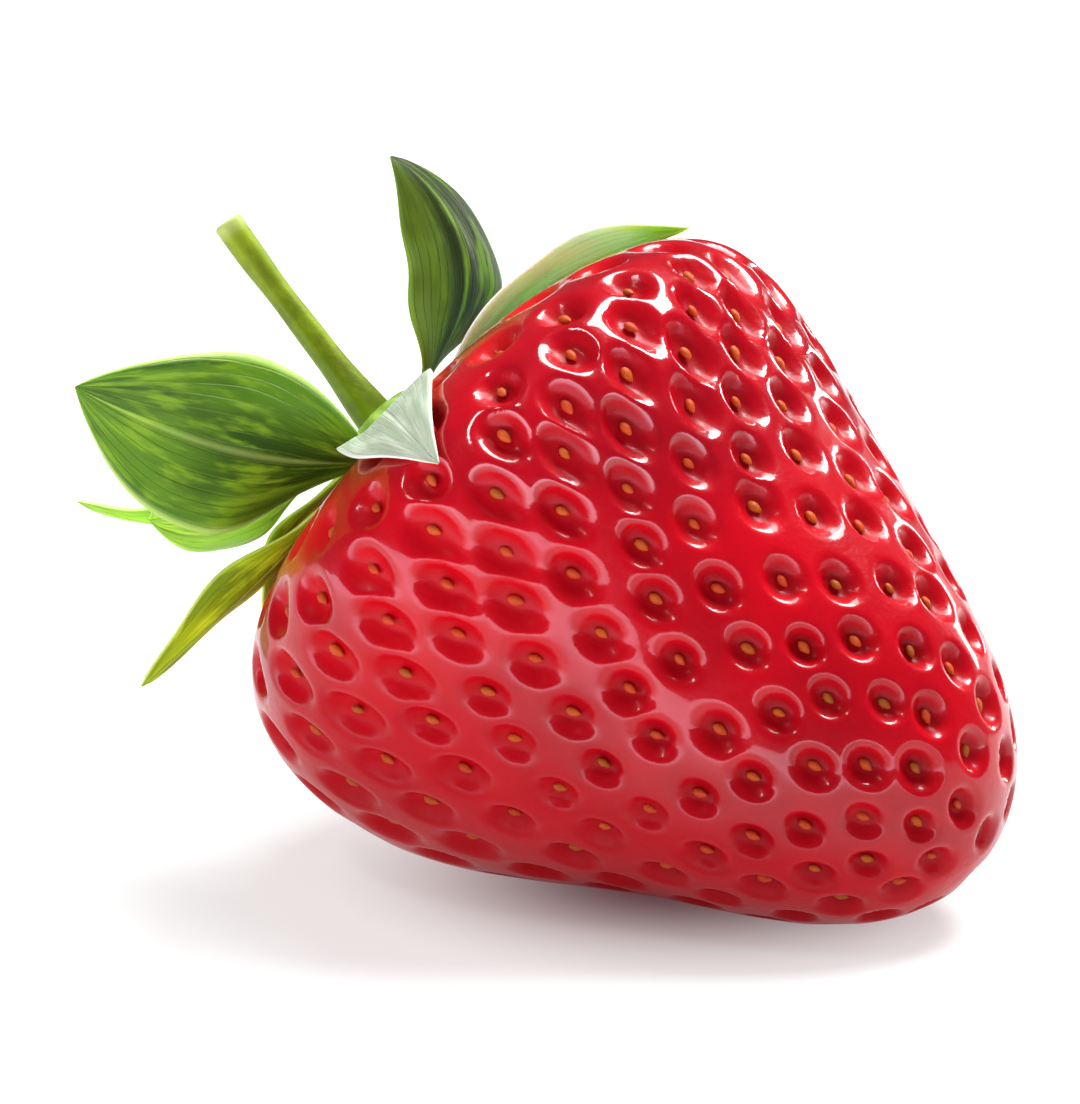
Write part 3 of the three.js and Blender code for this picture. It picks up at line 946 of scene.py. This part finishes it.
@dataclass(frozen=True)
class Leaf:
    """One leaf of the cap, in millimetres and degrees.

    Its turn goes round the crown from the top side to the near one. Row 0 lies on the fruit and row 1 above
    it. The lift from the crown's plane at the root changes by the curl up to the tip. Full is the share of its
    length where it is widest, cup is how far its edges rise, and sway is how far its middle line bows aside.
    """

    number: int
    tone: LeafTone
    turn: float
    row: float
    length: float
    width: float
    full: float
    lift: float
    curl: float
    twist: float
    cup: float
    sway: float
    along: int = 56
    across: int = 20
    thick: float = 0.34
    rim_thinning: float = 0.7
    root_radius: float = 4.5
    root_lift: float = 0.6
    root_inset: float = 1.3
    root_width: float = 2.6
    tip_width: float = 0.12
    row_rise: float = 1.2
    lie: float = 0.5
    groove: float = 0.16
    wave: float = 0.35
    wave_turns: float = 1.6
    ripple: float = 0.1
    spine_steps: int = 200

    def outward(self) -> Array:
        """The direction in the crown's plane that it grows in."""
        turn = math.radians(self.turn)
        return np.array([math.cos(turn), -math.sin(turn), 0])

    def half_width(self, share: Array) -> Array:
        """Works out half the leaf's width.

        Args:
            share: places along it, from 0 at the root to 1 at the tip.

        Returns:
            The half widths there.
        """
        bulge = np.sin(math.pi * np.clip(share, 0, 1) ** (math.log(0.5) / math.log(self.full))) ** 0.85
        root = self.root_width / 2 * (1 - share) ** 2
        return np.maximum.reduce([root, self.tip_width / 2 + 0 * share, self.width / 2 * bulge])

    def spine(self, crown: Crown, shares: Array) -> tuple[Array, Array, Array]:
        """The leaf's middle line, and the directions across it and out of its face, before any twist.

        Args:
            crown: the crown it grows on.
            shares: the wanted places along it, from 0 at the root to 1 at the tip.

        Returns:
            Three arrays with a row for each share.
        """
        outward, up = self.outward(), np.array([0.0, 0, 1])
        side = np.cross(up, outward)
        fine = np.linspace(0, 1, self.spine_steps + 1)
        lift = np.radians(self.lift + self.curl * np.clip(fine + 0.05, 0, 1))
        onward = np.cos(lift)[:, None] * outward + np.sin(lift)[:, None] * up
        steps = (onward[1:] + onward[:-1]) / 2 * self.length / self.spine_steps
        path = np.vstack([np.zeros(3), np.cumsum(steps, axis=0)])
        start = outward * self.root_radius
        start[2] = crown.height(start[0], start[1]) + self.root_lift + self.row * self.row_rise
        rows = np.stack([np.interp(shares, fine, path[:, axis]) for axis in range(3)], -1) + start
        ahead = np.stack([np.interp(shares, fine, onward[:, axis]) for axis in range(3)], -1)
        return rows, np.broadcast_to(side, rows.shape), unit(np.cross(ahead, side))

    def sheet(self, crown: Crown, share: Array, edge: Array) -> Array:
        """Points of the leaf's middle surface in the crown's frame.

        Args:
            crown: the crown it grows on.
            share: each point's place along the leaf, from 0 to 1.
            edge: its place across, from -1 to 1.

        Returns:
            One point a row.
        """
        rows, side, face = self.spine(crown, share)
        twist = np.radians(self.twist) * smooth(share, 0, 0.4)
        c, s = np.cos(twist)[:, None], np.sin(twist)[:, None]
        side, face = side * c + face * s, face * c - side * s
        swell = np.sin(math.pi * share)
        wave = self.wave * np.sin(2 * math.pi * self.wave_turns * share + self.turn + edge)
        rise = edge**2 * swell * (self.cup + wave)
        rise += self.ripple * swell * np.sin(9 * share + 5 * edge + self.number) * np.sin(7 * edge)
        rise -= self.groove * np.exp(-((edge / self.groove) ** 2)) * swell
        inset = self.root_inset * (1 - share) ** 6
        back = rows - inset[:, None] * self.outward()
        aside = edge * self.half_width(share) + self.sway * swell
        return back + side * aside[:, None] + face * rise[:, None]

    def outer_way(self, crown: Crown) -> Array:
        """The direction, in the part's frame, that the middle of the side away from the fruit looks in."""
        spots = self.sheet(crown, np.array([0.5, 0.5, 0.45, 0.55]), np.array([-0.1, 0.1, 0.0, 0.0]))
        return crown.turned(unit(np.cross(spots[3] - spots[2], spots[1] - spots[0])))

    def build(self, crown: Crown) -> Piece:
        """Lays a grid over the leaf's surface and gives it a thickness that thins out to the rim.

        Args:
            crown: the crown it grows on.

        Returns:
            The leaf, marked for its finish.
        """
        name = f"leaf_blade_{self.number:02d}"
        piece = new_primitive(name, "grid", x_subdivisions=self.across, y_subdivisions=self.along, size=2)
        flat = corners_of(piece)
        edge, share = flat[:, 0], (flat[:, 1] + 1) / 2
        points = crown.lifted(self.sheet(crown, share, edge), self.lie)
        move_corners(piece, crown.placed(points))
        with chosen(piece):
            solid = piece.modifiers.new("thickness", "SOLIDIFY")
            solid.thickness, solid.offset, solid.use_even_offset = self.thick * MM, 0, False
            bpy.ops.object.modifier_apply(modifier=solid.name)
        first, second = np.split(corners_of(piece), 2)
        middle, half = (first + second) / 2, (first - second) / 2
        half *= (1 - self.rim_thinning * np.maximum(np.abs(edge), smooth(share, 0.85, 1.0)) ** 8)[:, None]
        move_corners(piece, np.vstack([middle + half, middle - half]))
        inner = (np.abs(edge) < 0.3) & (np.abs(share - 0.5) < 0.1)
        outer = float(half[inner].mean(0) @ self.outer_way(crown) > 0)
        mark_corners(piece, "outer", np.repeat([outer, 1 - outer], len(flat)))
        aside = edge * self.width / 2 + 20 * self.number
        marks = {"across": edge, "along": share, "aside": aside, "onward": share * self.length}
        for mark, values in marks.items():
            mark_corners(piece, mark, np.tile(values, 2))
        face_outwards(piece)
        return piece


@dataclass(frozen=True)
class Disc:
    """The disc that the leaves and the stem grow from, with a rib towards each leaf."""

    radius: float = 3.8
    foot: float = 0.35
    height: float = 2.5
    ribs: int = 11
    rib_rise: float = 0.05
    segments: int = 88
    rings: int = 28
    steps: tuple[float, ...] = (0, 0.3, 0.45, 0.6, 0.8, 1.0)
    step_radii: tuple[float, ...] = (0, 0.85, 1.0, 0.92, 0.6, 0)
    step_heights: tuple[float, ...] = (0, 0, 0.25, 0.5, 0.8, 1.0)

    def base(self, crown: Crown) -> float:
        """Finds where its foot clears the skin all round.

        Args:
            crown: the crown it stands on.

        Returns:
            The foot's height over the crown's plane, in millimetres.
        """
        turns = np.arange(12) * math.pi / 6
        rim = (crown.height(self.radius * math.cos(t), self.radius * math.sin(t)) for t in turns)
        return max(rim) + self.foot

    def build(self, crown: Crown) -> Piece:
        """Presses a ball into the disc's outline, with ribs round it.

        Args:
            crown: the crown it stands on.

        Returns:
            The disc, marked for its finish.
        """
        piece = new_primitive(
            "cap_disc", "uv_sphere", segments=self.segments, ring_count=self.rings, radius=1
        )
        rise, turn = ball_places(piece)
        radius = self.radius * np.interp(rise, self.steps, self.step_radii)
        height = self.base(crown) + self.height * np.interp(rise, self.steps, self.step_heights)
        rib = 0.5 + 0.5 * np.cos(self.ribs * turn + 0.8 * np.sin(2 * turn))
        swell = np.sin(math.pi * rise) ** 2
        radius *= 1 + self.rib_rise * (rib - 0.6) * swell
        height += 0.18 * (rib - 0.5) * swell * (rise > 0.4)
        points = np.stack([radius * np.cos(turn), radius * np.sin(turn), height], -1)
        move_corners(piece, crown.placed(points))
        mark_corners(piece, "rib", rib * swell)
        mark_corners(piece, "cut", np.zeros_like(rise))
        return piece


@dataclass(frozen=True)
class Stem:
    """The cut stem, which leans to the top side and bends on, with ribs along it and a pale cut end."""

    gap: float = 0.35
    length: float = 13.6
    root: float = 1.2
    waist: float = 0.8
    end: float = 0.9
    lean: float = 7.0
    bend: float = 5.0
    sunk: float = 0.9
    ribs: int = 5
    segments: int = 40
    rings: int = 72

    def build(self, crown: Crown, disc: Disc) -> Piece:
        """Draws a ball out along the bend, with its foot sunk in the disc.

        Args:
            crown: the crown it stands on.
            disc: the disc it grows from.

        Returns:
            The stem, marked for its finish.
        """
        piece = new_primitive(
            "cap_stem", "uv_sphere", segments=self.segments, ring_count=self.rings, radius=1
        )
        rise, turn = ball_places(piece)
        share = np.interp(rise, [0, 0.06, 0.9, 1.0], [0, 0, 1, 1])
        flare = (self.root - self.waist) * (1 - share) ** 4 + (self.end - self.waist) * share**6
        uneven = 0.03 * np.sin(7 * share + 1) + 0.025 * np.sin(17 * share)
        radius = (self.waist + flare) * (1 + uneven)
        rib = 0.5 + 0.5 * np.cos(self.ribs * turn + 1.5 * share)
        radius *= 1 + 0.05 * (rib - 0.5)
        end = np.interp(rise, [0.9, 1], [0, 1])
        close = np.interp(rise, [0, 0.06], [0, 1]) * np.sqrt(np.clip(1 - end**2, 0, 1))
        height = (self.length + self.sunk) * share - self.sunk + 0.26 * np.sin(math.pi * 0.62 * end)
        x, y = radius * close * np.cos(turn), radius * close * np.sin(turn)
        x += 0.1 * np.sin(5.2 * share) * share
        arc = self.length / math.radians(self.bend)
        angle = height / arc
        bent = np.stack([arc - (arc - x) * np.cos(angle), y, (arc - x) * np.sin(angle)], -1)
        points = bent @ tilt(self.lean)
        points[:, 2] += disc.base(crown) + disc.height + self.gap
        move_corners(piece, crown.placed(points))
        mark_corners(piece, "rib", rib)
        mark_corners(piece, "cut", np.maximum(smooth(rise, 0.9, 1.0), 0.35 * smooth(share, 0.93, 1.0)))
        return piece


@dataclass
class Cap:
    """The green cap: the disc, the leaves round it and the stem."""

    form: FruitForm
    disc: Disc = Disc()
    stem: Stem = Stem()

    @staticmethod
    def leaves() -> list[Leaf]:
        """Lists the leaves.

        Returns:
            The leaves in their order round the crown, with the thin one over the fifth last.
        """
        spring, fresh, dark, olive, lime, pale, silver_sheen = LeafTone
        # tone, turn, row, length, width, full, lift, curl, twist, cup, sway
        rows = [
            (dark, -30, 1, 13.6, 7.4, 0.4, 26, 58, -44, 1.1, 1.6),
            (pale, 56, 0, 17.6, 7.2, 0.4, 10, -54, -2, 0.6, 0.2),
            (fresh, 97, 0, 19.2, 11.2, 0.46, 41, 9, 29, 0.9, -0.8),
            (spring, 134, 1, 11.2, 9.4, 0.62, 30, 0, 29, 0.8, -0.4),
            (olive, 146, 0, 16.6, 3.4, 0.6, 6, -8, 24, 0.6, -0.4),
            (olive, 179, 1, 11.5, 5.6, 0.5, 8, -40, 0, 0.5, 0.3),
            (fresh, 212, 0, 12.5, 5.4, 0.5, 2, -26, 0, 0.6, -0.4),
            (dark, 242, 1, 12.5, 7.4, 0.5, 14, -24, 4, 0.4, 0.5),
            (fresh, 275, 0, 12, 5.8, 0.5, 2, -50, -4, 0.5, 0.3),
            (silver_sheen, 322, 0, 17.5, 7, 0.38, 17, -50, -14, 0.5, 0),
            (lime, 146, 2.2, 14.6, 2.4, 0.6, 14, 40, 20, 0.3, -2),
        ]
        return [Leaf(number, *row) for number, row in enumerate(rows, start=1)]

    def make(self) -> None:
        """Builds and dresses every leaf, the disc and the stem."""
        crown = Crown(self.form)
        dresses = {tone: LeafFinish(tone).material() for tone in LeafTone}
        for leaf in self.leaves():
            piece = leaf.build(crown)
            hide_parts(f"leaf_{leaf.number:02d}")
            settle(piece, dresses[leaf.tone])
        disc = self.disc.build(crown)
        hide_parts("disc")
        settle(disc, StalkFinish("cap_disc", (0.36, 0.52, 0.10), (0.16, 0.30, 0.03)).material())
        stem = self.stem.build(crown, self.disc)
        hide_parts("stem")
        settle(stem, StalkFinish("cap_stem").material())


# The studio


@dataclass(frozen=True)
class Softbox:
    """A rectangular light that faces the fruit."""

    name: str
    azimuth: float
    elevation: float
    size: Pair
    power: float
    distance: float = 0.5
    aim: Triple = (0.0, 0.0, 0.018)

    def make(self) -> None:
        """Hangs the light at its azimuth and elevation in degrees and its distance in metres."""
        light = bpy.data.lights.new(self.name, "AREA")
        light.shape = "RECTANGLE"
        light.size, light.size_y = self.size
        light.energy = self.power
        lamp = bpy.data.objects.new(self.name, light)
        bpy.context.scene.collection.objects.link(lamp)
        back = direction(self.azimuth, self.elevation)
        lamp.location = Vector(self.aim) + back * self.distance
        lamp.rotation_euler = (-back).to_track_quat("-Z", "Y").to_euler()


def direction(azimuth: float, elevation: float) -> Vector:
    """The direction from the object to a viewer at an azimuth and an elevation in degrees."""
    a, e = math.radians(azimuth), math.radians(elevation)
    return Vector((math.sin(a) * math.cos(e), -math.cos(a) * math.cos(e), math.sin(e)))


@dataclass
class Studio:
    """White table that glows brighter in front and holds a painted shadow round the fruit, soft lights above
    and behind, and the camera.
    """

    azimuth: float = 32.573
    elevation: float = 16.021
    distance: float = 0.9
    lens: float = 500.0
    aim: Triple = (-0.00694, -0.00375, 0.02016)
    floor_size: float = 6.0
    glow: float = 5.0
    glow_azimuth: float = 5.0
    glow_start: float = 0.032
    glow_full: float = 0.11
    glow_least: float = 0.13
    glow_tint: Colour = (0.98, 0.81, 0.98)
    shade_tint: Colour = (0.02, 0.01, 0.011)
    shade_reach: Pair = (0.022, 0.020)
    shade_ends: Pair = (0.1, 1.0)
    seen_white: float = 1.0
    soft_white: float = 0.37
    mirrored_white: float = 0.05

    def make_floor(self) -> None:
        """The white table: a painted glow, bright in front like an overlit sweep, and a painted shadow close
        round the fruit.
        """
        floor = new_primitive("table", "plane", size=self.floor_size)
        paint = Paint("white_table")
        turn = math.radians(self.glow_azimuth)
        x, y = paint.coordinate(0), paint.coordinate(1)
        # painted light: the table glows, brighter towards the front
        share = (x * math.sin(turn) - y * math.cos(turn)).rise(self.glow_start, self.glow_full)
        # painted shadow: the glow fades to a dark pink tint close round the fruit
        long, wide = x / self.shade_reach[0], y / self.shade_reach[1]
        clear = ((long * long + wide * wide) ** 0.5).rise(*self.shade_ends)
        white = paint.mix(clear, self.shade_tint, (self.glow_least,) * 3)
        paint.shade(
            Base_Color=(0.35, 0.35, 0.352),
            Roughness=0.6,
            Specular_IOR_Level=0.2,
            Emission_Color=paint.mix(share, white, self.glow_tint),
            Emission_Strength=self.glow,
        )
        floor.data.materials.append(paint.material)

    def make_surroundings(self) -> None:
        """White where the camera sees it, softer as light, and dark in reflections."""
        world = bpy.data.worlds.new("surroundings")
        bpy.context.scene.world = world
        world.use_nodes = True
        tree = world.node_tree
        path = tree.nodes.new("ShaderNodeLightPath").outputs
        glossy, seen = tree.nodes.new("ShaderNodeMix"), tree.nodes.new("ShaderNodeMix")
        glossy.inputs[2].default_value, glossy.inputs[3].default_value = self.soft_white, self.mirrored_white
        seen.inputs[3].default_value = self.seen_white
        tree.links.new(path["Is Glossy Ray"], glossy.inputs[0])
        tree.links.new(glossy.outputs[0], seen.inputs[2])
        tree.links.new(path["Is Camera Ray"], seen.inputs[0])
        background = tree.nodes["Background"]
        background.inputs["Color"].default_value = (1, 1, 1, 1)
        tree.links.new(seen.outputs[0], background.inputs["Strength"])

    def make_lights(self) -> None:
        """Boxes nearly overhead and over the shoulder, a small one at the left and one low at the back."""
        Softbox("top_box", self.azimuth + 148, 67, (0.38, 0.24), 4.2).make()
        Softbox("shoulder_box", self.azimuth + 116, 59, (0.22, 0.14), 2.5).make()
        Softbox("left_box", self.azimuth - 68, 54, (0.14, 0.06), 0.45).make()
        Softbox("back_box", self.azimuth + 135, 12, (0.12, 0.10), 0.65).make()

    def make_camera(self) -> None:
        """The camera at the photo's viewing angle."""
        lens = bpy.data.cameras.new("camera")
        lens.lens = self.lens
        lens.clip_start, lens.clip_end = 0.01, 20
        camera = bpy.data.objects.new("camera", lens)
        bpy.context.scene.collection.objects.link(camera)
        back = direction(self.azimuth, self.elevation)
        camera.location = Vector(self.aim) + back * self.distance
        camera.rotation_euler = (-back).to_track_quat("-Z", "Y").to_euler()
        bpy.context.scene.camera = camera

    def make(self) -> None:
        """Sets up all of the studio."""
        self.make_floor()
        self.make_surroundings()
        self.make_lights()
        self.make_camera()
        bpy.context.scene.view_settings.view_transform = "Standard"


def main() -> None:
    """Builds the fruit, its cap and the studio in order."""
    logging.basicConfig(level=logging.INFO, format="%(name)s: %(message)s")
    form = FruitForm()
    Fruit(form, SeedSpiral(form)).make()
    Cap(form).make()
    Studio().make()


if __name__ == "__main__":
    main()
